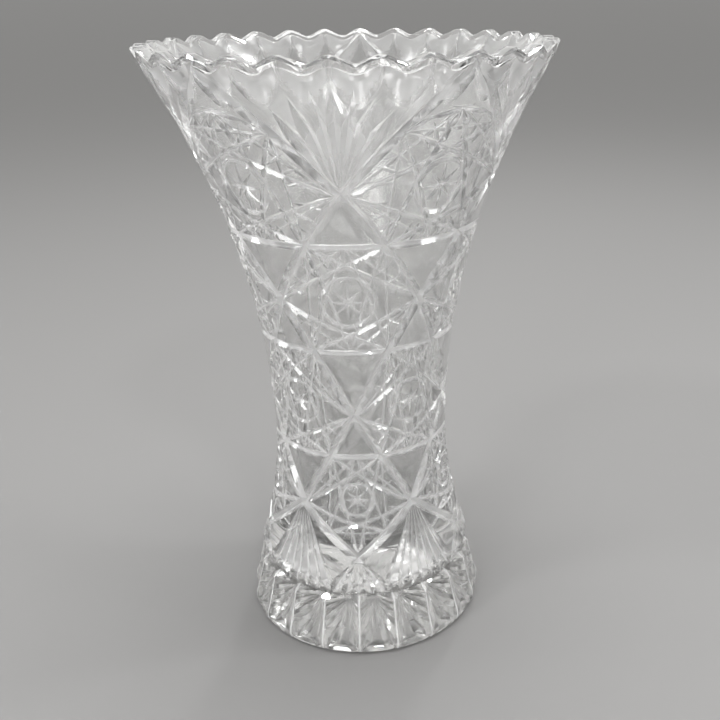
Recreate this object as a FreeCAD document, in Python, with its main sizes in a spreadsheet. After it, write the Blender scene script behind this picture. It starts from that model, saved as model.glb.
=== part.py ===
import FreeCAD, Part
import Sketcher
import math
import os

# Cut crystal vase: a flared, hollow body with a scalloped rim, standing on a solid glass foot.
# Millimetres, +Z up, origin at the centre of the underside of the foot. The front is -Y.

DRIVING_DIMENSIONS = {
    # overall outline
    "total_height": 254.0,
    "rim_radius": 82.3,
    "rim_band_radius": 81.7,
    "rim_band_height": 3.3,
    "waist_radius": 38.5,
    "waist_height": 90.0,
    "skirt_radius": 48.6,
    "skirt_height": 32.0,
    "joint_radius": 45.0,
    # hollow
    "mouth_radius": 76.5,
    "well_radius": 29.5,
    "well_corner": 12.0,
    "well_floor": 36.0,
    # foot
    "foot_height": 26.0,
    "foot_radius": 54.0,
    "foot_base_radius": 50.5,
    "foot_edge_height": 4.0,
    "foot_side_height": 12.0,
    "foot_ledge_radius": 46.0,
    # rim scallops and the upright flutes below them
    "scallop_count": 30,
    "scallop_depth": 2.5,
    "flute_depth": 1.5,
    "flute_length": 17.0,
    "flute_cut_radius": 36.0,
    # V-shaped ring cuts
    "ring_depth": 1.4,
    "ring_half_width": 1.5,
    "upper_ring": 184.5,
    "middle_ring": 138.5,
    "lower_ring": 90.0,
    # V-shaped diagonal cuts: heights where they cross, from the rim down
    "pattern_repeats": 5,
    "mitre_depth": 2.0,
    "mitre_half_width": 2.2,
    "crossing_rim": 250.0,
    "crossing_upper": 205.0,
    "crossing_middle": 160.0,
    "crossing_waist": 109.0,
    "crossing_lower": 66.0,
    "crossing_skirt": 44.0,
    # hollow facets round the foot: where their floor starts and ends, and the radius of the cut
    "facet_count": 20,
    "facet_top_radius": 47.6,
    "facet_top_height": 24.0,
    "facet_foot_radius": 52.4,
    "facet_foot_height": 1.0,
    "facet_cut_radius": 18.0,
}
CROSSINGS = ["rim", "upper", "middle", "waist", "lower", "skirt"]
RINGS = ["upper_ring", "middle_ring", "lower_ring"]
CUTTER_CLEARANCE = 3.0    # how far a cutter starts outside the glass
CUTTER_REACH = 30.0       # how far a cutter runs past the glass at its open end
LEAST_CUT = 1.0           # a cut that removes less than this many mm3 has missed
FULL_TURN = 360.0
UPRIGHT = FreeCAD.Vector(0.0, 0.0, 1.0)
START, END, CENTRE = 1, 2, 3
ROOT, X_AXIS, Y_AXIS = -1, -1, -2
PARTS_FOLDER = "parts"

doc = FreeCAD.newDocument("cut_crystal_vase")


class Size:
    """A number together with the spreadsheet expression that it comes from."""

    def __init__(self, value, text):
        self.value = value
        self.text = text

    def combine(self, other, symbol, result):
        other_text = other.text if isinstance(other, Size) else repr(other)
        return Size(result, f"({self.text} {symbol} {other_text})")

    def __add__(self, other):
        return self.combine(other, "+", self.value + number(other))

    def __sub__(self, other):
        return self.combine(other, "-", self.value - number(other))

    def __mul__(self, other):
        return self.combine(other, "*", self.value * number(other))

    def __truediv__(self, other):
        return self.combine(other, "/", self.value / number(other))

    def squared(self):
        return Size(self.value ** 2, f"({self.text} ^ 2)")

    def root(self):
        return Size(math.sqrt(self.value), f"sqrt({self.text})")


def number(size):
    """The plain value of a Size or of a number."""
    return size.value if isinstance(size, Size) else size


def make_sheet():
    """Put the driving dimensions into a spreadsheet and return them as Sizes."""
    sheet = doc.addObject("Spreadsheet::Sheet", "dims")
    sizes = {}
    for row, (alias, value) in enumerate(DRIVING_DIMENSIONS.items(), start=1):
        sheet.set(f"A{row}", alias)
        sheet.set(f"B{row}", str(value))
        sheet.setAlias(f"B{row}", alias)
        sizes[alias] = Size(value, f"dims.{alias}")
    doc.recompute()
    return sizes


dims = make_sheet()


def arc_bulge(across, along):
    """Radius of an arc that starts along one axis and ends across by one length, along by another."""
    return (across.squared() + along.squared()) / (across * 2.0)


def outer_radius(height):
    """Outer radius of the uncut body at a height, from the two arcs that meet at the waist."""
    if number(height) >= number(dims["waist_height"]):
        end_radius = dims["rim_band_radius"]
        end_height = dims["total_height"] - dims["rim_band_height"]
    else:
        end_radius = dims["skirt_radius"]
        end_height = dims["skirt_height"]
    bend = arc_bulge(end_radius - dims["waist_radius"], end_height - dims["waist_height"])
    rise = height - dims["waist_height"]
    return dims["waist_radius"] + bend - (bend.squared() - rise.squared()).root()


def half_step(count):
    """Half the angle between neighbours when a number of them go round."""
    return FULL_TURN / number(count) / 2.0


# ---------------------------------------------------------------- sketch and feature helpers

def origin_feature(body, role):
    """One of a body's own planes or axes, such as XY_Plane or Z_Axis."""
    for feature in body.Origin.OriginFeatures:
        if feature.Role == role:
            return feature
    raise ValueError(role)


def closed_loop(sketch, corners):
    """Join corners by straight lines into a closed loop and return the index of its first line."""
    first = len(sketch.Geometry)
    count = len(corners)
    for index, corner in enumerate(corners):
        sketch.addGeometry(Part.LineSegment(corner, corners[(index + 1) % count]), False)
    for index in range(count):
        constrain(sketch, "Coincident", first + index, END, first + (index + 1) % count, START)
    return first


def new_sketch(body, name, plane, offset=None):
    """A sketch on one of the body's own planes, moved by an offset placement."""
    sketch = body.newObject("Sketcher::SketchObject", name)
    sketch.AttachmentSupport = [(origin_feature(body, plane), "")]
    sketch.MapMode = "FlatFace"
    if offset is not None:
        sketch.AttachmentOffset = offset
    return sketch


def constrain(sketch, kind, *places, size=None):
    """Add a constraint and tie its value to the sheet."""
    if size is None:
        return sketch.addConstraint(Sketcher.Constraint(kind, *places))
    index = sketch.addConstraint(Sketcher.Constraint(kind, *places, abs(number(size))))
    sketch.setExpression(f"Constraints[{index}]", size.text)
    return index


def pin(sketch, element, end, across, up):
    """Fix an end of a line or arc at a distance from the sketch's origin; None is on the axis."""
    if across is None:
        constrain(sketch, "PointOnObject", element, end, Y_AXIS)
    else:
        constrain(sketch, "DistanceX", ROOT, START, element, end, size=across)
    if up is None:
        constrain(sketch, "PointOnObject", element, end, X_AXIS)
    else:
        constrain(sketch, "DistanceY", ROOT, START, element, end, size=up)


def point(across, up):
    """A sketch point at plain numbers, Sizes or None for the axis."""
    x = 0.0 if across is None else number(across)
    y = 0.0 if up is None else number(up)
    return FreeCAD.Vector(x, y, 0.0)


def outline(sketch, corners, arcs=None):
    """Close an outline through corners; arcs describes the curved sides by corner index.

    Each arc is its radius, negative to bend the other way, and the height that its centre is at.
    """
    arcs = arcs or {}
    count = len(corners)
    backwards = [index for index, (radius, level) in arcs.items() if radius < 0.0]
    for index in range(count):
        begin = point(*corners[index])
        finish = point(*corners[(index + 1) % count])
        if index in arcs:
            sketch.addGeometry(arc_between(begin, finish, arcs[index][0]), False)
        else:
            sketch.addGeometry(Part.LineSegment(begin, finish), False)
    for index in range(count):
        after = (index + 1) % count
        leave = START if index in backwards else END
        arrive = END if after in backwards else START
        constrain(sketch, "Coincident", index, leave, after, arrive)
        pin(sketch, after, arrive, *corners[after])
    for index, (radius, level) in arcs.items():
        constrain(sketch, "DistanceY", ROOT, START, index, CENTRE, size=level)
    return sketch


def arc_between(begin, finish, radius):
    """The short arc from one point to another, turning left for a positive radius."""
    chord = finish.sub(begin)
    middle = begin.add(finish).multiply(0.5)
    across = FreeCAD.Vector(-chord.y, chord.x, 0.0).normalize()
    side = 1.0 if radius > 0.0 else -1.0
    height = math.sqrt(radius ** 2 - (chord.Length / 2.0) ** 2)
    centre = middle.add(across.multiply(side * height))
    ends = [begin, finish] if radius > 0.0 else [finish, begin]
    angles = [math.atan2(end.y - centre.y, end.x - centre.x) for end in ends]
    circle = Part.Circle(centre, UPRIGHT, abs(radius))
    return Part.ArcOfCircle(circle, angles[0], angles[1])


def revolve(body, sketch, name, kind="PartDesign::Revolution"):
    """Turn a sketch fully round its own upright axis, adding or cutting."""
    feature = body.newObject(kind, name)
    feature.Profile = (sketch, [""])
    feature.ReferenceAxis = (sketch, ["V_Axis"])
    feature.Angle = FULL_TURN
    return feature


def cut_along(body, sketch, name, length):
    """Cut a sketch's shape into the body, along the sketch's own normal."""
    feature = body.newObject("PartDesign::Pocket", name)
    feature.Profile = (sketch, [""])
    feature.Length = length
    feature.Reversed = True
    return feature


def repeat_round(body, features, name, count):
    """Repeat features evenly round the body's upright axis."""
    pattern = body.newObject("PartDesign::PolarPattern", name)
    pattern.Originals = features
    pattern.Axis = (origin_feature(body, "Z_Axis"), [""])
    pattern.Angle = FULL_TURN
    pattern.setExpression("Occurrences", count.text)
    body.Tip = pattern
    return pattern


def must_remove(body, before, name):
    """Stop if a cut has removed nothing."""
    doc.recompute()
    after = body.Shape.Volume
    if after >= before - LEAST_CUT:
        raise RuntimeError(f"{name} cut nothing")
    return after


def placed(origin, forwards, outwards):
    """A placement whose Z runs forwards and whose Y points outwards."""
    sideways = outwards.cross(forwards)
    rotation = FreeCAD.Rotation(sideways, outwards, forwards, "ZXY")
    return FreeCAD.Placement(origin, rotation)


def on_cylinder(radius, angle, height):
    """A point at a radius, an angle in degrees from the front, and a height."""
    turn = math.radians(angle)
    return FreeCAD.Vector(radius * math.sin(turn), -radius * math.cos(turn), height)


# ---------------------------------------------------------------- cutters

def hollow_cut(body, name, lower, upper, cut_radius, count):
    """Long round-bottomed cuts whose floor runs from a lower to an upper point, repeated round.

    lower and upper are (radius, height) of the floor of the cut. The front is between two cuts.
    """
    half_angle = half_step(count)
    low = on_cylinder(lower[0], half_angle, lower[1])
    high = on_cylinder(upper[0], half_angle, upper[1])
    forwards = high.sub(low).normalize()
    radial = on_cylinder(1.0, half_angle, 0.0)
    outwards = radial.sub(FreeCAD.Vector(forwards).multiply(radial.dot(forwards))).normalize()
    start = low.sub(FreeCAD.Vector(forwards).multiply(CUTTER_REACH))
    sketch = new_sketch(body, f"{name}_section", "XY_Plane", placed(start, forwards, outwards))
    centre = FreeCAD.Vector(0.0, number(cut_radius), 0.0)
    sketch.addGeometry(Part.Circle(centre, UPRIGHT, number(cut_radius)), False)
    length = high.sub(low).Length + 2.0 * CUTTER_REACH
    cut = cut_along(body, sketch, f"{name}_cut", length)
    return repeat_round(body, [cut], name, count)


def v_cut(body, name, begin, finish, depth, half_width):
    """One V-shaped cut from point to point of the outer wall."""
    forwards = finish.sub(begin).normalize()
    middle = begin.add(finish).multiply(0.5)
    radial = FreeCAD.Vector(middle.x, middle.y, 0.0).normalize()
    outwards = radial.sub(FreeCAD.Vector(forwards).multiply(radial.dot(forwards))).normalize()
    overrun = number(depth)
    start = begin.sub(FreeCAD.Vector(forwards).multiply(overrun))
    sketch = new_sketch(body, f"{name}_section", "XY_Plane", placed(start, forwards, outwards))
    spread = number(half_width) * (1.0 + CUTTER_CLEARANCE / number(depth))
    corners = [
        FreeCAD.Vector(0.0, -number(depth), 0.0),
        FreeCAD.Vector(spread, CUTTER_CLEARANCE, 0.0),
        FreeCAD.Vector(-spread, CUTTER_CLEARANCE, 0.0),
    ]
    closed_loop(sketch, corners)
    constrain(sketch, "PointOnObject", 0, START, Y_AXIS)
    constrain(sketch, "DistanceY", 0, START, ROOT, START, size=depth)
    clearance = Size(CUTTER_CLEARANCE, repr(CUTTER_CLEARANCE))
    constrain(sketch, "DistanceY", ROOT, START, 0, END, size=clearance)
    reach = half_width * (clearance / depth + 1.0)
    constrain(sketch, "DistanceX", 0, START, 0, END, size=reach)
    constrain(sketch, "Horizontal", 1)
    constrain(sketch, "DistanceX", 1, END, 0, START, size=reach)
    length = finish.sub(begin).Length + 2.0 * overrun
    return cut_along(body, sketch, f"{name}_cut", length)


# ---------------------------------------------------------------- vase body

def body_wall(body):
    """The uncut body: outer arcs that meet at the waist, and the hollow inside them."""
    waist_up = dims["waist_height"]
    band_bottom = dims["total_height"] - dims["rim_band_height"]
    well_top = dims["well_floor"] + dims["well_corner"]
    well_flat = dims["well_radius"] - dims["well_corner"]
    corners = [
        (None, dims["foot_height"]),
        (dims["joint_radius"], dims["foot_height"]),
        (dims["skirt_radius"], dims["skirt_height"]),
        (dims["waist_radius"], waist_up),
        (dims["rim_band_radius"], band_bottom),
        (dims["rim_radius"], dims["total_height"]),
        (dims["mouth_radius"], dims["total_height"]),
        (dims["well_radius"], waist_up),
        (dims["well_radius"], well_top),
        (well_flat, dims["well_floor"]),
        (None, dims["well_floor"]),
    ]
    skirt = arc_bulge(dims["skirt_radius"] - dims["waist_radius"], waist_up - dims["skirt_height"])
    flare = arc_bulge(dims["rim_band_radius"] - dims["waist_radius"], band_bottom - waist_up)
    mouth = arc_bulge(dims["mouth_radius"] - dims["well_radius"], dims["total_height"] - waist_up)
    arcs = {
        2: (-number(skirt), waist_up),
        3: (-number(flare), waist_up),
        6: (number(mouth), waist_up),
        8: (-number(dims["well_corner"]), well_top),
    }
    sketch = outline(new_sketch(body, "wall_section", "XZ_Plane"), corners, arcs)
    return revolve(body, sketch, "wall")


def cut_rings(body):
    """Level V-shaped cuts round the body."""
    sketch = new_sketch(body, "ring_sections", "XZ_Plane")
    spread = Size(CUTTER_CLEARANCE, repr(CUTTER_CLEARANCE)) + dims["ring_depth"]
    tall = dims["ring_half_width"] * (spread / dims["ring_depth"])
    for ring in RINGS:
        height = dims[ring]
        apex = outer_radius(height) - dims["ring_depth"]
        mouth = number(apex + spread)
        corners = [
            FreeCAD.Vector(number(apex), number(height), 0.0),
            FreeCAD.Vector(mouth, number(height - tall), 0.0),
            FreeCAD.Vector(mouth, number(height + tall), 0.0),
        ]
        first = closed_loop(sketch, corners)
        pin(sketch, first, START, apex, height)
        constrain(sketch, "Vertical", first + 1)
        constrain(sketch, "DistanceX", first, START, first, END, size=spread)
        constrain(sketch, "DistanceY", first, END, first, START, size=tall)
        constrain(sketch, "DistanceY", first, START, first + 1, END, size=tall)
    return revolve(body, sketch, "ring_mitres", "PartDesign::Groove")


def cut_mitres(body):
    """The lattice of diagonal V-shaped cuts, crossing at alternate columns."""
    column = half_step(dims["pattern_repeats"])
    cuts = []
    for level in range(len(CROSSINGS) - 1):
        upper = dims[f"crossing_{CROSSINGS[level]}"]
        lower = dims[f"crossing_{CROSSINGS[level + 1]}"]
        upper_turn = column if level % 2 == 0 else 0.0
        lower_turn = column - upper_turn
        for side, word in ((1.0, "right"), (-1.0, "left")):
            begin = on_cylinder(number(outer_radius(upper)), side * upper_turn, number(upper))
            finish = on_cylinder(number(outer_radius(lower)), side * lower_turn, number(lower))
            name = f"mitre_{CROSSINGS[level]}_{word}"
            cuts.append(v_cut(body, name, begin, finish, dims["mitre_depth"], dims["mitre_half_width"]))
            doc.recompute()
    return repeat_round(body, cuts, "diagonal_mitres", dims["pattern_repeats"])


def cut_flutes(body):
    """Upright hollow flutes below the rim, one under each scallop."""
    top = dims["total_height"]
    bottom = top - dims["flute_length"]
    lower = (number(outer_radius(bottom)), number(bottom))
    upper = (number(dims["rim_radius"] - dims["flute_depth"]), number(top))
    return hollow_cut(body, "flutes", lower, upper, dims["flute_cut_radius"], dims["scallop_count"])


def cut_scallops(body):
    """Round bites out of the rim that leave points between them."""
    half_angle = half_step(dims["scallop_count"])
    half_chord = number(dims["rim_radius"]) * math.sin(math.radians(half_angle))
    depth = number(dims["scallop_depth"])
    wheel = (half_chord ** 2 + depth ** 2) / (2.0 * depth)
    sketch_up = FreeCAD.Vector(0.0, 1.0, 0.0)
    turned = FreeCAD.Placement(FreeCAD.Vector(), FreeCAD.Rotation(sketch_up, half_angle))
    sketch = new_sketch(body, "scallop_outline", "XZ_Plane", turned)
    centre = FreeCAD.Vector(0.0, number(dims["total_height"]) - depth + wheel, 0.0)
    sketch.addGeometry(Part.Circle(centre, UPRIGHT, wheel), False)
    cut = cut_along(body, sketch, "scallop_cut", number(dims["rim_radius"]) + CUTTER_REACH)
    return repeat_round(body, [cut], "scallops", dims["scallop_count"])


def make_vase_body():
    """The hollow cut body, from the joint with the foot up to the scalloped rim."""
    body = doc.addObject("PartDesign::Body", "vase_body")
    body_wall(body)
    doc.recompute()
    volume = body.Shape.Volume
    for name, cutter in (
        ("ring mitres", cut_rings),
        ("diagonal mitres", cut_mitres),
        ("flutes", cut_flutes),
        ("scallops", cut_scallops),
    ):
        cutter(body)
        volume = must_remove(body, volume, name)
        print(name, "done, volume", round(volume), "mm3")
    return body


# ---------------------------------------------------------------- foot

def make_foot():
    """The solid foot: a thick disc with a rounded shoulder and hollow facets round its side."""
    body = doc.addObject("PartDesign::Body", "foot")
    corners = [
        (None, None),
        (dims["foot_base_radius"], None),
        (dims["foot_radius"], dims["foot_edge_height"]),
        (dims["foot_radius"], dims["foot_side_height"]),
        (dims["foot_ledge_radius"], dims["foot_height"]),
        (None, dims["foot_height"]),
    ]
    inwards = dims["foot_radius"] - dims["foot_ledge_radius"]
    upwards = dims["foot_height"] - dims["foot_side_height"]
    arcs = {3: (number(arc_bulge(inwards, upwards)), dims["foot_side_height"])}
    sketch = outline(new_sketch(body, "foot_section", "XZ_Plane"), corners, arcs)
    revolve(body, sketch, "disc")
    doc.recompute()
    volume = body.Shape.Volume
    lower = (number(dims["facet_foot_radius"]), number(dims["facet_foot_height"]))
    upper = (number(dims["facet_top_radius"]), number(dims["facet_top_height"]))
    hollow_cut(body, "facets", lower, upper, dims["facet_cut_radius"], dims["facet_count"])
    must_remove(body, volume, "facets")
    return body


# ---------------------------------------------------------------- build, check and write

def check(bodies):
    """Stop if any object failed or any sub-part has no valid single solid."""
    for item in doc.Objects:
        if "Invalid" in item.State or "Error" in item.State:
            raise RuntimeError(f"{item.Name}: {item.State}")
    for body in bodies:
        if body.Shape.isNull() or not body.Shape.isValid() or len(body.Shape.Solids) != 1:
            raise RuntimeError(f"{body.Label} is not one valid solid")


def write(bodies):
    """Write each sub-part to its own file, named after its label."""
    os.makedirs(PARTS_FOLDER, exist_ok=True)
    for body in bodies:
        body.Shape.exportStep(os.path.join(PARTS_FOLDER, f"{body.Label}.step"))
        box = body.Shape.BoundBox
        print(body.Label, "volume", round(body.Shape.Volume), "mm3, faces", len(body.Shape.Faces),
              "x", round(box.XMin, 2), round(box.XMax, 2), "y", round(box.YMin, 2), round(box.YMax, 2),
              "z", round(box.ZMin, 2), round(box.ZMax, 2))


sub_parts = [make_vase_body(), make_foot()]
doc.recompute()
check(sub_parts)
write(sub_parts)
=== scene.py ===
import math

import bpy
import bmesh
from mathutils import Matrix, Vector
from mathutils.geometry import delaunay_2d_cdt


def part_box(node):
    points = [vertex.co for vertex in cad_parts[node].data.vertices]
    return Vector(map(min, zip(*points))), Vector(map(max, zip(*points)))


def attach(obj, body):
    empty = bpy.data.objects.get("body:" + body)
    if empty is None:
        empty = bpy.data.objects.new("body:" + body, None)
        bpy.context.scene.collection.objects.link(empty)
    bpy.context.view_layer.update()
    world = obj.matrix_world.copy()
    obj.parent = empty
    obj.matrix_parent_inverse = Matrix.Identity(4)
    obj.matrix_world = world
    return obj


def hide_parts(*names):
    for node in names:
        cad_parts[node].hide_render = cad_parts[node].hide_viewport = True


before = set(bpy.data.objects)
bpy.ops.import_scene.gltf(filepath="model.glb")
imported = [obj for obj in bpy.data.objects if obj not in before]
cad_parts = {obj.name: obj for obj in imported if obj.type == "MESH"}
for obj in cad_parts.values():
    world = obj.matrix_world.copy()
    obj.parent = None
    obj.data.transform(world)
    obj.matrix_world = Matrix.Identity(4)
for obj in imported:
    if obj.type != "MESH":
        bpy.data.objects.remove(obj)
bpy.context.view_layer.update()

# A cut crystal vase in clear glass. The front is -Y and +Z is up.
# The pattern is laid out flat on a "cut plan". Across is the angle from the front, in degrees. Up is
# the station in millimetres: the height on the outside of the glass, then the way on over the rim and
# down the inside, with the underside below 0. Half of one repeat is drawn. Geometry Nodes wraps it
# round the section, mirrors it and repeats it.

MM = 0.001
REPEATS = 5
HALF_REPEAT = 180.0 / REPEATS          # degrees: the plan runs from 0 to here
FACET_STEP = 18.0                      # degrees between ridges on the foot
PLAN_SCALE = 0.8                       # plan millimetres for each degree

# ---------------------------------------------------------------- section of the glass, in mm

body_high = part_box("vase_body")[1]
foot_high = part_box("foot")[1]
RIM_INSET, FOOT_INSET = 0.1, 0.2       # how far the skin stays inside the solids
TOP = body_high[2] / MM
RIM_RADIUS = body_high[1] / MM - RIM_INSET
FOOT_TOP = foot_high[2] / MM
FOOT_RADIUS = foot_high[1] / MM - FOOT_INSET
BASE_RADIUS = 50.5
EDGE_HEIGHT = 4.0
SIDE_HEIGHT = 12.0
LEDGE_RADIUS = 46.0
JOINT_RADIUS = 45.0
LEDGE_WIDTH, LEDGE_RISE = LEDGE_RADIUS - JOINT_RADIUS, 0.3
SKIRT_RADIUS, SKIRT_HEIGHT = 48.2, 33.0
WAIST_RADIUS, WAIST_HEIGHT = 38.5, 90.0
BAND_RADIUS, BAND_HEIGHT = 81.6, TOP - 3.3
LIP = 0.8                              # small bevels on the rim's two edges
MOUTH_RADIUS = 76.5
WELL_RADIUS, WELL_CORNER, WELL_FLOOR = 29.5, 12.0, 36.0

STATION_BASE = -BASE_RADIUS            # centre of the underside
STATION_LIP = TOP                      # outer edge of the rim
STATION_MOUTH = TOP + RIM_RADIUS - MOUTH_RADIUS
STATION_CORNER = STATION_MOUTH + TOP - WELL_FLOOR - WELL_CORNER
STATION_FLOOR = STATION_CORNER + WELL_CORNER * math.pi / 2.0
STATION_END = STATION_FLOOR + WELL_RADIUS - WELL_CORNER


def arc_out(radius, height, end_radius, end_height, z):
    """Radius at height z on an arc that leaves (radius, height) upright and ends at the other point."""
    across = end_radius - radius
    along = end_height - height
    bend = (across ** 2 + along ** 2) / (2.0 * across)
    return radius + bend - math.copysign(math.sqrt(bend ** 2 - (z - height) ** 2), bend)


def section(station):
    """Radius and height of the uncut glass at a station along its section."""
    if station <= 0.0:
        return BASE_RADIUS + station, 0.0
    if station <= EDGE_HEIGHT:
        rise = 1.0 - station / EDGE_HEIGHT
        return BASE_RADIUS + (FOOT_RADIUS - BASE_RADIUS) * math.sqrt(1.0 - rise ** 2), station
    if station <= SIDE_HEIGHT:
        return FOOT_RADIUS, station
    if station <= FOOT_TOP:
        return arc_out(FOOT_RADIUS, SIDE_HEIGHT, LEDGE_RADIUS, FOOT_TOP, station), station
    if station <= FOOT_TOP + LEDGE_WIDTH:
        part = (station - FOOT_TOP) / LEDGE_WIDTH
        return LEDGE_RADIUS - LEDGE_WIDTH * part, FOOT_TOP + LEDGE_RISE * part
    if station <= SKIRT_HEIGHT:
        part = (station - FOOT_TOP - LEDGE_WIDTH) / (SKIRT_HEIGHT - FOOT_TOP - LEDGE_WIDTH)
        radius = JOINT_RADIUS + (SKIRT_RADIUS - JOINT_RADIUS) * math.sin(part * math.pi / 2.0)
        low = FOOT_TOP + LEDGE_RISE
        return radius, low + (SKIRT_HEIGHT - low) * (1.0 - math.cos(part * math.pi / 2.0))
    if station <= WAIST_HEIGHT:
        return arc_out(WAIST_RADIUS, WAIST_HEIGHT, SKIRT_RADIUS, SKIRT_HEIGHT, station), station
    if station <= BAND_HEIGHT:
        return arc_out(WAIST_RADIUS, WAIST_HEIGHT, BAND_RADIUS, BAND_HEIGHT, station), station
    if station <= STATION_LIP - LIP:
        part = (station - BAND_HEIGHT) / (STATION_LIP - LIP - BAND_HEIGHT)
        return BAND_RADIUS + (RIM_RADIUS - BAND_RADIUS) * part, station
    if station <= STATION_LIP:
        part = (station - STATION_LIP + LIP) / LIP
        return RIM_RADIUS - LIP * part, STATION_LIP - LIP + LIP * part
    if station <= STATION_MOUTH:
        part = (station - STATION_LIP) / (STATION_MOUTH - STATION_LIP)
        dip = max(0.0, station - STATION_MOUTH + LIP)
        return RIM_RADIUS - LIP + (MOUTH_RADIUS - RIM_RADIUS + LIP) * part, TOP - dip
    if station <= STATION_CORNER:
        height = TOP - LIP - (station - STATION_MOUTH) * (1.0 - LIP / (STATION_CORNER - STATION_MOUTH))
        if height < WAIST_HEIGHT:
            return WELL_RADIUS, height
        return arc_out(WELL_RADIUS, WAIST_HEIGHT, MOUTH_RADIUS, TOP - LIP, height), height
    if station <= STATION_FLOOR:
        turn = (station - STATION_CORNER) / WELL_CORNER
        radius = WELL_RADIUS - WELL_CORNER + WELL_CORNER * math.cos(turn)
        return radius, WELL_FLOOR + WELL_CORNER * (1.0 - math.sin(turn))
    return max(0.0, WELL_RADIUS - WELL_CORNER - (station - STATION_FLOOR)), WELL_FLOOR


def outward(station):
    """Unit direction out of the glass at a station, as radius and height."""
    step = 0.05
    before = section(max(STATION_BASE, station - step))
    after = section(min(STATION_END, station + step))
    along = Vector((after[0] - before[0], after[1] - before[1])).normalized()
    return along.y, -along.x


# ---------------------------------------------------------------- cuts on the plan

class Cut:
    """A V-shaped wheel cut between two plan points, running out to a point at each end."""

    def __init__(self, start, end, half_width, depth, run_in, run_out):
        self.key = tuple(round(number, 3) for number in (*start, *end))
        self.start = Vector((start[0] * PLAN_SCALE, start[1]))
        self.end = Vector((end[0] * PLAN_SCALE, end[1]))
        along = self.end - self.start
        self.length = along.length
        self.along = along.normalized()
        self.across = Vector((-self.along.y, self.along.x))
        middle = (start[1] + end[1]) / 2.0
        stretch = math.radians(section(middle)[0]) / PLAN_SCALE
        real = math.hypot(self.across.x * stretch, self.across.y)
        self.half_width = half_width / real
        self.depth = depth
        self.run_in = min(run_in, self.length * 0.5)
        self.run_out = min(run_out, self.length - self.run_in)
        self.panes = self.make_panes()

    def spot(self, along, across):
        return self.start + self.along * along + self.across * across

    def make_panes(self):
        """The flat pieces of the two flanks: corners, and depth = slope . point + level."""
        panes = []
        begin = self.run_in
        finish = self.length - self.run_out
        for side in (1.0, -1.0):
            edge = side * self.half_width
            steep = self.across * (-side * self.depth / self.half_width)
            tip = self.along * (self.depth / self.run_in)
            panes.append(([(0, 0), (begin, 0), (begin, edge)], steep + tip, 0.0))
            if finish - begin > 1e-6:
                middle = [(begin, 0), (finish, 0), (finish, edge), (begin, edge)]
                panes.append((middle, steep, self.depth))
            tail = self.along * (-self.depth / self.run_out)
            level = self.depth * self.length / self.run_out
            panes.append(([(finish, 0), (self.length, 0), (finish, edge)], steep + tail, level))
        result = []
        for corners, slope, level in panes:
            points = [self.spot(*corner) for corner in corners]
            if (points[1] - points[0]).cross(points[2] - points[0]) < 0.0:
                points.reverse()
            result.append((points, slope, level - slope.dot(self.start)))
        return result

    def box(self):
        xs = [self.start.x, self.end.x]
        ys = [self.start.y, self.end.y]
        pad = self.half_width
        return min(xs) - pad, min(ys) - pad, max(xs) + pad, max(ys) + pad

    def depth_at(self, point):
        offset = point - self.start
        along = offset.dot(self.along)
        if along <= 0.0 or along >= self.length:
            return 0.0
        floor = self.depth * min(1.0, along / self.run_in, (self.length - along) / self.run_out)
        return floor - abs(offset.dot(self.across)) * self.depth / self.half_width

    def creases(self):
        """The centre line and both edges, as lists of plan points."""
        begin = self.run_in
        finish = self.length - self.run_out
        lines = [[self.start, self.spot(begin, 0), self.spot(finish, 0), self.end]]
        for side in (1.0, -1.0):
            edge = side * self.half_width
            lines.append([self.start, self.spot(begin, edge), self.spot(finish, edge), self.end])
        return lines


class RingCut:
    """A round V-shaped cut about a centre, such as the one that leaves a hob standing."""

    SIDES = 24

    def __init__(self, centre, radius, half_width, depth):
        self.key = (round(centre[0], 3), round(centre[1], 3), radius)
        self.centre = Vector((centre[0] * PLAN_SCALE, centre[1]))
        self.stretch = math.radians(section(centre[1])[0]) / PLAN_SCALE
        self.radius = radius
        self.half_width = half_width
        self.depth = depth
        self.panes = []

    def box(self):
        reach = self.radius + self.half_width
        wide = reach / self.stretch
        return self.centre.x - wide, self.centre.y - reach, self.centre.x + wide, self.centre.y + reach

    def depth_at(self, point):
        offset = point - self.centre
        distance = math.hypot(offset.x * self.stretch, offset.y)
        return self.depth * (1.0 - abs(distance - self.radius) / self.half_width)

    def creases(self):
        lines = []
        for radius in (self.radius - self.half_width, self.radius, self.radius + self.half_width):
            loop = []
            for side in range(self.SIDES + 1):
                turn = math.tau * side / self.SIDES
                step = Vector((math.sin(turn) / self.stretch, math.cos(turn)))
                loop.append(self.centre + step * radius)
            lines.append(loop)
        return lines


def flipped(point, line):
    """A plan point reflected in an upright line, or left where it is."""
    return point if line is None else (2.0 * line - point[0], point[1])


def mirrored(shapes):
    """The cuts, and their reflections in both edges of the plan, each once."""
    found = {}
    for shape, arguments in shapes:
        for line in (None, 0.0, HALF_REPEAT):
            if shape is RingCut:
                cut = RingCut(flipped(arguments[0], line), *arguments[1:])
            else:
                ends = [flipped(point, line) for point in arguments[:2]]
                runs = arguments[4:]
                if ends[1] < ends[0]:
                    ends.reverse()
                    runs = runs[::-1]
                cut = Cut(*ends, *arguments[2:4], *runs)
            found.setdefault(cut.key, cut)
    return list(found.values())


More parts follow.
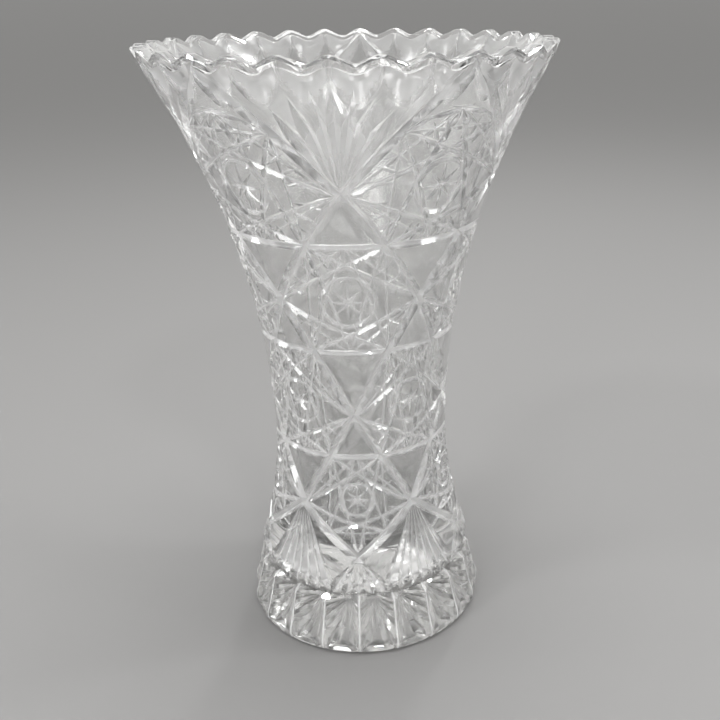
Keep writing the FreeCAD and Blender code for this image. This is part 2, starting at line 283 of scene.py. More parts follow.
# half width and depth of each kind of V-shaped cut, in mm
DIAGONAL = (2.2, 2.0)
RING = (1.5, 1.4)
BOLD_STAR = (1.15, 1.0)
FINE_STAR = (0.7, 0.6)
EDGE_LINE = (1.0, 0.9)
FRINGE = (0.8, 0.7)
HOB_RING = (1.1, 1.0)
HOB_RAY = (1.3, 1.1)
RIM_PETAL = (2.6, 1.9)
SKIRT_PETAL = (2.7, 1.9)
SMALL_PETAL = (2.3, 1.6)
FOOT_RAY = (2.6, 1.6)
RUN = 4.0                              # mm over which most cuts come to a point at each end
SHORT_RUN = 3.0

# heights of the ring cuts and of the places where the long diagonal cuts cross
RINGS = {"upper": 184.5, "middle": 138.5, "lower": 90.0}
CROSSINGS = [("rim", 1, 250.0), ("upper", 0, 205.0), ("middle", 1, 160.0),
             ("waist", 0, 109.0), ("lower", 1, 66.0), ("skirt", 0, 44.0)]
CROSS = {name: (HALF_REPEAT * column, height) for name, column, height in CROSSINGS}


def on_diagonal(upper, lower, height):
    """Angle of the long diagonal between two crossings, at a height."""
    (angle_a, height_a), (angle_b, height_b) = CROSS[upper], CROSS[lower]
    return angle_a + (angle_b - angle_a) * (height_a - height) / (height_a - height_b)


def lattice():
    """The long diagonals and the level rings."""
    shapes = []
    past_edge = 8.0                    # degrees that a ring cut runs past the plan
    for (name_a, _, _), (name_b, _, _) in zip(CROSSINGS, CROSSINGS[1:]):
        a, b = Vector(CROSS[name_a]), Vector(CROSS[name_b])
        step = b - a
        more = step * (RUN / Vector((step.x * PLAN_SCALE, step.y)).length)
        shapes.append((Cut, (tuple(a - more), tuple(b + more), *DIAGONAL, RUN, RUN)))
    for height in RINGS.values():
        shapes.append((Cut, ((-past_edge, height), (HALF_REPEAT + past_edge, height), *RING, RUN, RUN)))
    return shapes


HOB_RAYS = 4                           # cuts across a hob, twice as many rays
FRINGE_PLACES = (0.25, 0.5, 0.75)      # where the short cuts stand between two points of a star
FRINGE_START = 0.62                    # share of the way out from the centre where they begin
FRINGE_RUN_IN, FRINGE_RUN_OUT = 2.5, 40.0


def hobstar(centre, hob, ray_length, *left_half):
    """A star of crossing cuts round a raised button, with a small rayed star on the button.

    It takes the star's centre, the radius of the ring cut round the hob, half the length of a ray, and
    the five points of the star's left half.
    """
    shapes = []
    points = star_points(centre, *left_half)
    count = len(points)
    middle = Vector(centre)
    for index in range(count):
        here = points[index]
        shapes.append((Cut, (here, points[(index + 3) % count], *BOLD_STAR, RUN, RUN)))
        shapes.append((Cut, (here, points[(index + 2) % count], *FINE_STAR, RUN, RUN)))
        beyond = points[(index + 1) % count]
        for share in FRINGE_PLACES:
            outer = Vector(here).lerp(Vector(beyond), share)
            inner = middle.lerp(outer, FRINGE_START)
            shapes.append((Cut, (tuple(inner), tuple(outer), *FRINGE, FRINGE_RUN_IN, FRINGE_RUN_OUT)))
    shapes.append((RingCut, (centre, hob, *HOB_RING)))
    scale = math.radians(section(centre[1])[0])
    for ray in range(HOB_RAYS):
        turn = math.pi * ray / HOB_RAYS
        step = Vector((ray_length * math.sin(turn) / scale, ray_length * math.cos(turn)))
        shapes.append((Cut, (tuple(middle - step), tuple(middle + step), *HOB_RAY, ray_length, ray_length)))
    return shapes


def star_points(centre, left, top_corner, top, bottom_corner, bottom):
    """The eight points of a star in order round it, from those of its left half."""
    right, top_right, bottom_right = (
        flipped(point, centre[0]) for point in (left, top_corner, bottom_corner))
    return [left, top_corner, top, top_right, right, bottom_right, bottom, bottom_corner]


def fan(root, tips, start_share, size, tail):
    """Rays that spread from a root to a row of tips, widest near the tips like petals."""
    shapes = []
    for tip in tips:
        start = Vector(root).lerp(Vector(tip), start_share)
        length = math.hypot((tip[0] - start.x) * PLAN_SCALE, tip[1] - start.y)
        shapes.append((Cut, (tuple(start), tip, *size, length - tail, tail)))
    return shapes


def foot_star():
    """Rays under the foot, one below each ridge of its side."""
    shapes = []
    inner, outer = 6.0 - BASE_RADIUS, -2.0
    run_in, run_out = 28.0, 6.0
    for ray in range(round(HALF_REPEAT / FACET_STEP) + 1):
        angle = ray * FACET_STEP
        shapes.append((Cut, ((angle, inner), (angle, outer), *FOOT_RAY, run_in, run_out)))
    return shapes


def pattern():
    """Every V-shaped cut of half a repeat, before it is reflected."""
    side = HALF_REPEAT
    upper, middle, lower = RINGS.values()
    upper_corner = on_diagonal("upper", "middle", upper)
    middle_corner = on_diagonal("middle", "waist", middle)
    lower_corner = on_diagonal("waist", "lower", lower)
    shapes = lattice()
    # centre column, between the upper and middle rings
    shapes += hobstar((0.0, 161.0), 10.6, 9.4, (-side, 160.0), (-upper_corner, upper), (0.0, upper),
                      (-middle_corner, middle), (0.0, middle))
    # side column, above the upper ring
    shapes += hobstar((side, 206.5), 10.2, 9.0, (2.0, 205.0), (19.0, 228.0), (side, 235.0),
                      (upper_corner, upper), (side, upper))
    shapes.append((Cut, ((16.0, 225.5), (27.0, 233.0), *EDGE_LINE, SHORT_RUN, SHORT_RUN)))
    shapes.append((Cut, ((25.0, 232.2), (side + 4.0, 236.0), *EDGE_LINE, SHORT_RUN, SHORT_RUN)))
    # side column, between the middle and lower rings
    shapes += hobstar((side, 113.5), 9.6, 8.4, (2.0, 109.0), (middle_corner, middle), (side, middle),
                      (lower_corner, lower), (side, lower))
    # centre column, below the lower ring
    shapes += hobstar((0.0, 70.0), 7.2, 6.4, (-side + 2.0, 66.0), (-lower_corner, lower), (0.0, lower),
                      (-side / 2.0, 55.0), (0.0, 46.0))
    # fans above the upper crossing and below the two lowest crossings
    rim_tips = [(0.0, 244.0), (5.4, 243.0), (10.8, 240.5), (16.0, 236.5)]
    shapes += fan((0.0, 203.0), rim_tips, 0.12, RIM_PETAL, 9.0)
    skirt_tips = [(side - 7.0 * step, 29.5) for step in range(4)]
    shapes += fan((side, 68.0), skirt_tips, 0.1, SKIRT_PETAL, 5.0)
    small_tips = [(7.5 * step, 28.0) for step in range(3)]
    shapes += fan((0.0, 47.0), small_tips, 0.3, SMALL_PETAL, RUN)
    return mirrored(shapes + foot_star())


# ---------------------------------------------------------------- rounded cuts

FLUTE_STEP = 12.0                      # degrees between rim points
FLUTE_FOOT, FLUTE_DEPTH = 236.5, 2.0
FLUTE_TOP = BAND_HEIGHT - 0.4
FLUTE_RISE = 1.4                       # a flute is at full depth after 1 / 1.4 of its height
FLUTE_OVERLAP = 1.15                   # above 1, so that two flutes meet below the surface
FLUTE_RIDGE_START = FLUTE_FOOT + 10.0
SCALLOP_DEPTH = 2.9
WAVE_REACH, WAVE_FADE = 14.0, 10.0     # the rim's wave dies out this far down, over this height
WAVE_END = STATION_MOUTH + WAVE_REACH
RIM_LEAN = 0.45                        # the lowered rim also draws in, by this share of the drop
FACET_CUT_RADIUS = 18.0
FACET_FLOOR = ((52.4, 1.0), (46.9, 24.0))  # radius and height of the deepest line, low and high
FACET_START, FACET_FULL = 1.2, 3.0     # heights between which the facets reach their full depth
RIDGE_HALF_WIDTH, RIDGE_TRIM = 0.8, 0.5    # degrees and mm: the ridges are ground a little flat


def off_ridge(angle, step):
    """Angle from the middle of the hollow between two ridges."""
    return (angle % step) - step / 2.0


def flute_depth(angle, station):
    """Upright hollows under the rim band, each with a round foot."""
    if station < FLUTE_FOOT or station > BAND_HEIGHT:
        return 0.0
    share = off_ridge(angle, FLUTE_STEP) / (FLUTE_STEP / 2.0)
    reach = min(1.0, (station - FLUTE_FOOT) / (FLUTE_TOP - FLUTE_FOOT) * FLUTE_RISE)
    step = min(1.0, (BAND_HEIGHT - station) / (BAND_HEIGHT - FLUTE_TOP))
    return FLUTE_DEPTH * (reach * FLUTE_OVERLAP - share ** 2) * step


def ridge_share(angle, station):
    """1 along the crest of a ridge of the foot, 0 beside it."""
    if station < FACET_START or station > FOOT_TOP:
        return 0.0
    from_ridge = FACET_STEP / 2.0 - abs(off_ridge(angle, FACET_STEP))
    return max(0.0, 1.0 - from_ridge / RIDGE_HALF_WIDTH)


def facet_depth(angle, station):
    """Hollow facets round the foot, cut by a round wheel."""
    if station < 0.0 or station > FOOT_TOP:
        return 0.0
    radius, height = section(station)
    turn = math.radians(off_ridge(angle, FACET_STEP))
    (low_radius, low_height), (high_radius, high_height) = FACET_FLOOR
    floor = low_radius + (high_radius - low_radius) * (height - low_height) / (high_height - low_height)
    middle = floor + FACET_CUT_RADIUS
    reach = (middle * math.cos(turn)) ** 2 - middle ** 2 + FACET_CUT_RADIUS ** 2
    if reach <= 0.0:
        return 0.0
    depth = radius - (middle * math.cos(turn) - math.sqrt(reach))
    trim = ridge_share(angle, station) * RIDGE_TRIM
    fade = min(1.0, max(0.0, (height - FACET_START) / (FACET_FULL - FACET_START)))
    return (depth + min(trim, max(0.0, depth))) * fade


def haze(station):
    """How far the polish is worn or dulled at a station."""
    if station < UNDERSIDE_EDGE:
        return UNDERSIDE_HAZE
    if station < FOOT_TOP:
        return FOOT_HAZE
    return float(station > INSIDE_START)


def solid_share(height):
    """1 in the solid foot, fading to 0 up the hollow body."""
    return max(0.0, min(1.0, (SOLID_END - height) / (SOLID_END - SOLID_START)))


def scallop_drop(angle, height):
    """How far the wavy rim is lowered at an angle, fading out below the rim."""
    share = off_ridge(angle, FLUTE_STEP) / (FLUTE_STEP / 2.0)
    fade = max(0.0, min(1.0, (height - (TOP - WAVE_REACH)) / WAVE_FADE))
    return SCALLOP_DEPTH * (1.0 + math.cos(math.pi * share)) / 2.0 * fade * fade


# ---------------------------------------------------------------- the flat plan as a mesh

def clip_line(a, b, low, high):
    """The part of a segment inside a box, or None."""
    step = b - a
    first, last = 0.0, 1.0
    for axis in (0, 1):
        if abs(step[axis]) < 1e-9:
            if a[axis] < low[axis] or a[axis] > high[axis]:
                return None
            continue
        one = (low[axis] - a[axis]) / step[axis]
        two = (high[axis] - a[axis]) / step[axis]
        first = max(first, min(one, two))
        last = min(last, max(one, two))
    if last - first < 1e-6:
        return None
    return a + step * first, a + step * last


def clip_polygon(points, corners):
    """A polygon cut down to the inside of a convex one, both anticlockwise."""
    for index in range(len(corners)):
        a, b = corners[index], corners[(index + 1) % len(corners)]
        edge = b - a
        kept = []
        for k in range(len(points)):
            p, q = points[k], points[(k + 1) % len(points)]
            side_p = edge.cross(p - a)
            side_q = edge.cross(q - a)
            if side_p >= 0.0:
                kept.append(p)
            if (side_p > 0.0) != (side_q > 0.0) and abs(side_p - side_q) > 1e-12:
                kept.append(p + (q - p) * (side_p / (side_p - side_q)))
        points = kept
        if len(points) < 3:
            return []
    return points


def level_line(points, slope, level):
    """Where slope . point + level is zero across a polygon, as two points or None."""
    hits = []
    for k in range(len(points)):
        p, q = points[k], points[(k + 1) % len(points)]
        value_p = slope.dot(p) + level
        value_q = slope.dot(q) + level
        if (value_p > 0.0) != (value_q > 0.0):
            hits.append(p + (q - p) * (value_p / (value_p - value_q)))
    if len(hits) == 2 and (hits[0] - hits[1]).length > 0.02:
        return hits
    return None


def valleys_between(cuts):
    """The creases where the flanks of two cuts meet."""
    lines = []
    boxes = [cut.box() for cut in cuts]
    for i, cut in enumerate(cuts):
        for j in range(i + 1, len(cuts)):
            a, b = boxes[i], boxes[j]
            if a[0] > b[2] or b[0] > a[2] or a[1] > b[3] or b[1] > a[3]:
                continue
            for corners_a, slope_a, level_a in cut.panes:
                for corners_b, slope_b, level_b in cuts[j].panes:
                    overlap = clip_polygon(corners_a, corners_b)
                    if overlap:
                        hits = level_line(overlap, slope_a - slope_b, level_a - level_b)
                        if hits:
                            lines.append(hits)
    return lines


def rounded_edges():
    """The outlines of the flutes and facets, as lists of plan points."""
    lines = []
    steps = 10
    flute = FLUTE_STEP / 2.0
    for column in range(int(HALF_REPEAT / FLUTE_STEP)):
        middle = (column + 0.5) * FLUTE_STEP
        arch = []
        for k in range(-steps, steps + 1):
            share = k / steps
            rise = share ** 2 / FLUTE_OVERLAP / FLUTE_RISE
            station = FLUTE_FOOT + (FLUTE_TOP - FLUTE_FOOT) * rise
            arch.append(Vector(((middle + share * flute) * PLAN_SCALE, station)))
        lines.append(arch)
    for column in range(int(HALF_REPEAT / FLUTE_STEP) + 1):
        across = column * FLUTE_STEP * PLAN_SCALE
        lines.append([Vector((across, FLUTE_RIDGE_START)), Vector((across, WAVE_END))])
    facet = FACET_STEP / 2.0
    just_inside = 0.9999               # keeps the arch's ends off the ridges
    just_past = 0.001                  # degrees from a ridge to where its facet is measured
    for column in range(int(HALF_REPEAT / FACET_STEP)):
        middle = (column + 0.5) * FACET_STEP
        for low, high in ((SIDE_HEIGHT, FOOT_TOP), (SIDE_HEIGHT, FACET_START)):
            arch = []
            for k in range(-steps, steps + 1):
                angle = middle + k / steps * facet * just_inside
                arch.append(Vector((angle * PLAN_SCALE, facet_edge(angle, low, high))))
            lines.append(arch)
        for across in (middle - facet, middle - facet + RIDGE_HALF_WIDTH,
                       middle + facet - RIDGE_HALF_WIDTH, middle + facet):
            low = facet_edge(across + just_past, SIDE_HEIGHT, FACET_START)
            high = facet_edge(across + just_past, SIDE_HEIGHT, FOOT_TOP)
            lines.append([Vector((across * PLAN_SCALE, low)), Vector((across * PLAN_SCALE, high))])
    return lines


def facet_edge(angle, inside, outside):
    """The station where a facet runs out, between one inside it and one outside it."""
    for _ in range(24):
        middle = (inside + outside) / 2.0
        if facet_depth(angle, middle) > 0.0:
            inside = middle
        else:
            outside = middle
    return inside


def sprinkle():
    """Plain plan points that let the mesh follow the curves of the glass."""
    points = []
    # from, to, mm between rows, degrees between columns
    zones = [
        (STATION_BASE, 0.0, 10.0, 6.0),
        (0.0, FOOT_TOP, 1.6, 1.2),
        (FOOT_TOP, SKIRT_HEIGHT, 1.2, 3.0),
        (SKIRT_HEIGHT, FLUTE_FOOT, 5.0, 4.0),
        (FLUTE_FOOT, FLUTE_TOP, 2.4, 1.0),
        (BAND_HEIGHT, STATION_LIP, 0.83, 1.0),
        (STATION_LIP, WAVE_END, 1.6, 1.0),
        (WAVE_END, STATION_CORNER, 6.0, 4.0),
        (STATION_CORNER, STATION_FLOOR, 2.0, 4.0),
        (STATION_FLOOR, STATION_END, 4.0, 6.0),
    ]
    for low, high, rise, turn in zones:
        rows = max(1, round((high - low) / rise))
        columns = round(HALF_REPEAT / turn)
        for row in range(rows + 1):
            for column in range(columns + 1):
                across = HALF_REPEAT * column / columns * PLAN_SCALE
                points.append(Vector((across, low + (high - low) * row / rows)))
    return points


# stations where the section or the cutting changes, so the mesh has an edge there
EXACT_STATIONS = [0.0, FACET_START, FACET_FULL, EDGE_HEIGHT, SIDE_HEIGHT, FOOT_TOP, FOOT_TOP + LEDGE_WIDTH,
                  SKIRT_HEIGHT, FLUTE_TOP, BAND_HEIGHT, STATION_LIP - LIP, STATION_LIP,
                  STATION_MOUTH - LIP, STATION_MOUTH]
LONGEST_EDGE = 5.5
NEAR = 0.01                            # plan points closer than this are one point

LAYOUT = ("angle", "radius", "height", "out_radius", "out_height", "depth", "drop")
FINISH = ("ground", "haze", "solid")   # kept on the finished mesh for its material
FULLY_GROUND = 0.4                     # mm: cuts deeper than this are as matt as they get
RIDGE_WEAR = 1.5                       # how matt the foot's ridges are, where a cut is 1
UNDERSIDE_HAZE = 0.7                   # wear on the underside, where the inside is 1
FOOT_HAZE = 0.2                        # and on the foot's facets
UNDERSIDE_EDGE = -2.0                  # station where the worn underside ends
INSIDE_START = STATION_MOUTH + 4.0     # station where the dull inside begins
SOLID_START, SOLID_END = 36.0, 62.0    # heights over which the solid glass gives way to the hollow


class Sketch:
    """Points and edges of the flat plan, with points that nearly coincide kept as one."""

    def __init__(self, low, high):
        self.low = low
        self.high = high
        self.points = []
        self.edges = set()
        self.found = {}

    def add_point(self, point):
        across = point.x
        for edge in (self.low.x, self.high.x):
            if abs(across - edge) < NEAR:
                across = edge
        point = Vector((across, point.y))
        cell = (round(point.x / NEAR), round(point.y / NEAR))
        for column in (-1, 0, 1):
            for row in (-1, 0, 1):
                other = self.found.get((cell[0] + column, cell[1] + row))
                if other is not None and (self.points[other] - point).length < NEAR:
                    return other
        self.points.append(point)
        self.found[cell] = len(self.points) - 1
        return len(self.points) - 1

    def add_line(self, start, end):
        inside = clip_line(start, end, self.low, self.high)
        if not inside:
            return
        a, b = inside
        count = max(1, math.ceil((b - a).length / LONGEST_EDGE))
        places = [self.add_point(a + (b - a) * (k / count)) for k in range(count + 1)]
        self.edges.update((p, q) for p, q in zip(places, places[1:]) if p != q and (q, p) not in self.edges)

    def triangles(self):
        """Points and faces of the finished flat mesh."""
        inside_only = 1
        verts, _, faces, _, _, _ = delaunay_2d_cdt(
            self.points, sorted(self.edges), [], inside_only, NEAR, False)
        return verts, faces


def plan_mesh():
    """The half repeat as a flat mesh, with what Geometry Nodes needs to wrap it."""
    cuts = pattern()
    low = Vector((0.0, STATION_BASE))
    high = Vector((HALF_REPEAT * PLAN_SCALE, STATION_END))
    lines = [[low, Vector((high.x, low.y)), high, Vector((low.x, high.y)), low]]
    lines += [[Vector((low.x, station)), Vector((high.x, station))] for station in EXACT_STATIONS]
    lines += [line for cut in cuts for line in cut.creases()]
    lines += valleys_between(cuts)
    lines += rounded_edges()
    sketch = Sketch(low, high)
    for line in lines:
        for start, end in zip(line, line[1:]):
            sketch.add_line(start, end)
    for point in sprinkle():
        sketch.add_point(point)
    verts, faces = sketch.triangles()

    mesh = bpy.data.meshes.new("cut_plan")
    mesh.from_pydata([(v.x, v.y, 0.0) for v in verts], [], [tuple(face) for face in faces])
    boxes = [cut.box() for cut in cuts]
    rows = {name: [] for name in (*LAYOUT, *FINISH)}
    for v in verts:
        angle = min(max(v.x / PLAN_SCALE, 0.0), HALF_REPEAT)
        station = v.y
        depth = max(0.0, flute_depth(angle, station))
        for cut, box in zip(cuts, boxes):
            if box[0] <= v.x <= box[2] and box[1] <= v.y <= box[3]:
                depth = max(depth, cut.depth_at(v))
        radius, height = section(station)
        facet = facet_depth(angle, station)
        out_radius, out_height = outward(station)
        rows["angle"].append(math.radians(angle))
        rows["radius"].append((radius - max(0.0, facet)) * MM)
        rows["height"].append(height * MM)
        rows["out_radius"].append(out_radius)
        rows["out_height"].append(out_height)
        rows["depth"].append(depth * MM)
        rows["drop"].append(scallop_drop(angle, height) * MM)
        rows["ground"].append(min(1.0, depth / FULLY_GROUND) + RIDGE_WEAR * ridge_share(angle, station))
        rows["haze"].append(haze(station))
        rows["solid"].append(solid_share(height))
    for name, values in rows.items():
        mesh.attributes.new(name, "FLOAT", "POINT").data.foreach_set("value", values)
    print("plan:", len(cuts), "cuts,", len(verts), "points,", len(faces), "faces")
    return mesh


# ---------------------------------------------------------------- Geometry Nodes: wrap and repeat

class Tree:
    """A node tree that is built by calls."""

    def __init__(self, tree):
        self.tree = tree

    def link(self, value, socket):
        self.tree.links.new(getattr(value, "socket", value), socket)

    def node(self, kind, settings=None, **inputs):
        """Add a node, set what it is, then give its sockets values or links.

        Sockets go by name with _ for a space, or by number as _0, _1 and so on.
        """
        made = self.tree.nodes.new(kind)
        for name, value in (settings or {}).items():
            setattr(made, name, value)
        for name, value in inputs.items():
            key = int(name[1:]) if name[0] == "_" and name[1:].isdigit() else name.replace("_", " ")
            socket = made.inputs[key]
            if isinstance(value, (Wire, bpy.types.NodeSocket)):
                self.link(value, socket)
            else:
                socket.default_value = value
        return made


class Wire:
    """A socket that can be used in maths."""

    def __init__(self, tree, socket):
        self.tree = tree
        self.socket = socket

    def maths(self, operation, a, b=0.0):
        made = self.tree.node("ShaderNodeMath", {"operation": operation}, _0=a, _1=b)
        return Wire(self.tree, made.outputs[0])

    def __add__(self, other):
        return self.maths("ADD", self, other)

    __radd__ = __add__

    def __sub__(self, other):
        return self.maths("SUBTRACT", self, other)

    def __rsub__(self, other):
        return self.maths("SUBTRACT", other, self)

    def __mul__(self, other):
        return self.maths("MULTIPLY", self, other)

    __rmul__ = __mul__

    def __neg__(self):
        return self.maths("MULTIPLY", self, -1.0)

    def sine(self):
        return self.maths("SINE", self)

    def cosine(self):
        return self.maths("COSINE", self)


WELD = 2e-6                            # metres: closer points of neighbouring repeats are joined


def wrap_tree():
    """Node group: wrap the flat plan round the section, reflect it, and repeat it round the vase."""
    group = bpy.data.node_groups.new("cut_glass_wrap", "GeometryNodeTree")
    face = group.interface
    face.new_socket("Plan", in_out="INPUT", socket_type="NodeSocketGeometry")
    face.new_socket("Repeats", in_out="INPUT", socket_type="NodeSocketInt").default_value = REPEATS
    face.new_socket("Cut Depth", in_out="INPUT", socket_type="NodeSocketFloat").default_value = 1.0
    face.new_socket("Weld Distance", in_out="INPUT", socket_type="NodeSocketFloat").default_value = WELD
    face.new_socket("Glass", in_out="INPUT", socket_type="NodeSocketMaterial")
    face.new_socket("Vase", in_out="OUTPUT", socket_type="NodeSocketGeometry")
    tree = Tree(group)
    given = tree.node("NodeGroupInput")

    def field(name):
        made = tree.node("GeometryNodeInputNamedAttribute", {"data_type": "FLOAT"}, Name=name)
        return Wire(tree, made.outputs[0])

    depth = field("depth") * Wire(tree, given.outputs["Cut Depth"])
    drop = field("drop")
    radius = field("radius") - depth * field("out_radius") - drop * RIM_LEAN
    height = field("height") - depth * field("out_height") - drop
    angle = field("angle")
    place = tree.node("ShaderNodeCombineXYZ", X=radius * angle.sine(), Y=-(radius * angle.cosine()), Z=height)
    half = tree.node("GeometryNodeSetPosition", Geometry=given.outputs["Plan"], Position=place.outputs[0])
    other = tree.node("GeometryNodeTransform", Geometry=half.outputs[0], Scale=(-1.0, 1.0, 1.0))
    turned = tree.node("GeometryNodeFlipFaces", Mesh=other.outputs[0])
    whole = tree.node("GeometryNodeJoinGeometry", Geometry=half.outputs[0])
    tree.link(turned.outputs[0], whole.inputs[0])
    centres = tree.node("GeometryNodeMeshLine", Count=given.outputs["Repeats"], Offset=(0.0, 0.0, 0.0))
    share = tree.node("ShaderNodeMath", {"operation": "DIVIDE"}, _0=math.tau, _1=given.outputs["Repeats"])
    index = Wire(tree, tree.node("GeometryNodeInputIndex").outputs[0])
    spin = tree.node("ShaderNodeCombineXYZ", Z=index * share.outputs[0])
    turn = tree.node("FunctionNodeEulerToRotation", Euler=spin.outputs[0])
    ring = tree.node("GeometryNodeInstanceOnPoints", Points=centres.outputs[0],
                     Instance=whole.outputs[0], Rotation=turn.outputs[0])
    solid = tree.node("GeometryNodeRealizeInstances", Geometry=ring.outputs[0])
    weld = tree.node("GeometryNodeMergeByDistance", Geometry=solid.outputs[0],
                     Distance=given.outputs["Weld Distance"])
    finish = tree.node("GeometryNodeSetMaterial", Geometry=weld.outputs[0], Material=given.outputs["Glass"])
    tree.node("NodeGroupOutput", Vase=finish.outputs[0])
    return group


def add_object(name, mesh):
    thing = bpy.data.objects.new(name, mesh)
    bpy.context.scene.collection.objects.link(thing)
    return thing


def set_inputs(modifier, **values):
    """Set a modifier's inputs, found by the name of each socket."""
    for item in modifier.node_group.interface.items_tree:
        word = item.name.replace(" ", "_").lower()
        if item.in_out == "INPUT" and word in values:
            modifier[item.identifier] = values[word]


def make_vase(glass):
    """The whole vase as one closed skin of glass."""
    plan = add_object("cut_plan", plan_mesh())
    modifier = plan.modifiers.new("wrap", "NODES")
    modifier.node_group = wrap_tree()
    set_inputs(modifier, repeats=REPEATS, cut_depth=1.0, weld_distance=WELD, glass=glass)
    graph = bpy.context.evaluated_depsgraph_get()
    mesh = bpy.data.meshes.new_from_object(plan.evaluated_get(graph))
    plan.modifiers.remove(modifier)
    bpy.data.objects.remove(plan)
    tidy_mesh(mesh)
    mesh.name = "cut_glass"
    return add_object("cut_glass", mesh)


CREASE_ANGLE = 11.0                    # degrees: edges bent further than this stay sharp


def tidy_mesh(mesh):
    """Point every face outwards and keep the cut edges sharp."""
    work = bmesh.new()
    work.from_mesh(mesh)
    bmesh.ops.recalc_face_normals(work, faces=work.faces)
    loose = [edge for edge in work.edges if len(edge.link_faces) != 2]
    print("vase mesh:", len(work.verts), "points,", len(work.faces), "faces,", len(loose), "open edges")
    work.to_mesh(mesh)
    work.free()
    for name in LAYOUT:
        mesh.attributes.remove(mesh.attributes[name])
    mesh.polygons.foreach_set("use_smooth", [True] * len(mesh.polygons))
    mesh.set_sharp_from_angle(angle=math.radians(CREASE_ANGLE))


# ---------------------------------------------------------------- materials

POLISH = 0.04                          # roughness where the glass is plain
CUT_ROUGHNESS = 0.08                   # more on the flanks of the cuts
HAZE_ROUGHNESS = 0.15                  # more on the inside and on the worn underside
CUT_WHITENESS = 0.3                    # share of the light that a cut scatters back
FILM_SCALE, FILM_DETAIL = 45.0, 3.0    # slight unevenness of the polish
LEAD_CRYSTAL_IOR = 1.545
COAT_ROUGHNESS = 0.03
MATT_ROUGHNESS = 0.5
MATT_WHITE = (0.9, 0.9, 0.9, 1.0)
THIN_GLASS = (0.99, 0.99, 0.985, 1.0)
THICK_GLASS = (0.66, 0.66, 0.65, 1.0)  # darker where the glass is solid, fading out up the body


def new_material(name):
    material = bpy.data.materials.new(name)
    material.use_nodes = True
    tree = Tree(material.node_tree)
    return material, tree, material.node_tree.nodes["Principled BSDF"]


def crystal_material():
    """Clear lead crystal: polished where it is plain, matt in the cuts, hazy inside, darker in the foot."""
    material, tree, glass = new_material("lead_crystal")

    def mesh_value(name):
        return Wire(tree, tree.node("ShaderNodeAttribute", {"attribute_name": name}).outputs["Fac"])

    ground = mesh_value("ground")
    place = tree.node("ShaderNodeTexCoord").outputs["Object"]
    noise = tree.node("ShaderNodeTexNoise", Vector=place, Scale=FILM_SCALE, Detail=FILM_DETAIL)
    film = Wire(tree, noise.outputs[0])
    roughness = film * POLISH + ground * CUT_ROUGHNESS + mesh_value("haze") * HAZE_ROUGHNESS
    colour = tree.node("ShaderNodeMix", {"data_type": "RGBA"},
                       _0=mesh_value("solid"), _6=THIN_GLASS, _7=THICK_GLASS)
    glass.inputs["Transmission Weight"].default_value = 1.0
    glass.inputs["IOR"].default_value = LEAD_CRYSTAL_IOR
    glass.inputs["Coat Weight"].default_value = 1.0
    glass.inputs["Coat Roughness"].default_value = COAT_ROUGHNESS
    tree.link(colour.outputs[2], glass.inputs["Base Color"])
    tree.link(roughness, glass.inputs["Roughness"])
    matt = tree.node("ShaderNodeBsdfPrincipled", Base_Color=MATT_WHITE, Roughness=MATT_ROUGHNESS)
    both = tree.node("ShaderNodeMixShader",
                     _0=ground * CUT_WHITENESS, _1=glass.outputs[0], _2=matt.outputs[0])
    tree.link(both.outputs[0], material.node_tree.nodes["Material Output"].inputs["Surface"])
    return material


def floor_material():
    """An even, pale grey floor."""
    material, _, shader = new_material("pale_floor")
    shader.inputs["Base Color"].default_value = (0.19, 0.188, 0.186, 1.0)
    shader.inputs["Roughness"].default_value = 0.75
    return material


# ---------------------------------------------------------------- stage, lights and camera

FLOOR_HALF_SIZE = 60.0                 # metres, so that its edge is far off
FLOOR_GAP = 0.0002                     # keeps the floor just clear of the glass
ROOM_LIGHT = 0.9


def make_stage():
    """The floor, and an even light from all round."""
    half = FLOOR_HALF_SIZE
    mesh = bpy.data.meshes.new("floor")
    mesh.from_pydata([(-half, -half, 0.0), (half, -half, 0.0), (half, half, 0.0), (-half, half, 0.0)],
                     [], [(0, 1, 2, 3)])
    mesh.materials.append(floor_material())
    floor = add_object("floor", mesh)
    floor.location.z = -FLOOR_GAP
    world = bpy.data.worlds.new("soft_room")
    world.use_nodes = True
    back = world.node_tree.nodes["Background"]
    back.inputs["Color"].default_value = (1.0, 0.995, 0.98, 1.0)
    back.inputs["Strength"].default_value = ROOM_LIGHT
    bpy.context.scene.world = world


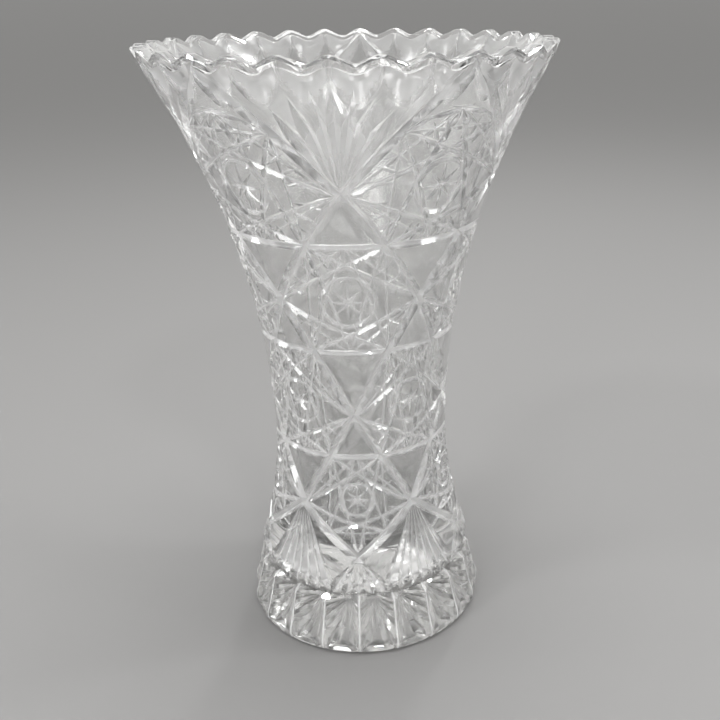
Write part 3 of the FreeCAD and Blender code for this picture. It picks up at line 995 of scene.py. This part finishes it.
def softbox(name, place, size, radiance):
    """A round lamp of a given brightness, whatever its size."""
    lamp = bpy.data.lights.new(name, "AREA")
    lamp.shape = "DISK"
    lamp.size = size
    lamp.energy = radiance * math.pi * math.pi * size ** 2 / 4.0
    thing = add_object(name, lamp)
    thing.location = place
    aim = MIDDLE - Vector(place)
    thing.rotation_euler = aim.to_track_quat("-Z", "Y").to_euler()


MIDDLE = Vector((0.0, 0.0, 0.13))      # what every lamp points at
# name, place and size in metres, and how bright its face is
LAMPS = [
    ("overhead", (0.1, 0.1, 1.3), 0.8, 6.0),
    ("front_box", (-0.5, -1.1, 0.6), 0.5, 8.0),
    ("left_box", (-1.2, 0.1, 0.6), 0.3, 8.0),
    ("right_box", (1.1, -0.3, 0.7), 0.3, 8.0),
    ("bulb_front", (0.25, -0.75, 0.95), 0.12, 70.0),
    ("bulb_left", (-0.5, -0.35, 0.9), 0.12, 70.0),
    ("bulb_back", (0.2, 0.8, 0.9), 0.12, 70.0),
    ("bulb_right", (0.75, 0.1, 1.0), 0.12, 70.0),
]


def make_lights():
    for lamp in LAMPS:
        softbox(*lamp)


STAND = (0.0220, -0.3726, 0.2758)      # metres
LOOK_DOWN, ROLL, TURN = 21.56, -0.83, 1.0   # degrees


def make_camera():
    """A view from the front and above, off centre as the object is framed."""
    camera = bpy.data.cameras.new("camera")
    camera.sensor_width = 36.0
    camera.lens = 45.41
    camera.shift_x = -0.0667
    camera.shift_y = -0.032
    camera.clip_start = 0.01
    thing = add_object("camera", camera)
    down = Matrix.Rotation(math.radians(90.0 - LOOK_DOWN), 4, "X")
    roll = Matrix.Rotation(math.radians(ROLL), 4, "Z")
    turn = Matrix.Rotation(math.radians(TURN), 4, "Z")
    thing.matrix_world = turn @ Matrix.Translation(STAND) @ down @ roll
    bpy.context.scene.camera = thing


def main():
    bpy.context.scene.view_settings.view_transform = "Standard"
    make_camera()
    make_stage()
    make_lights()
    vase = make_vase(crystal_material())
    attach(vase, "root")
    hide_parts("vase_body", "foot")


main()
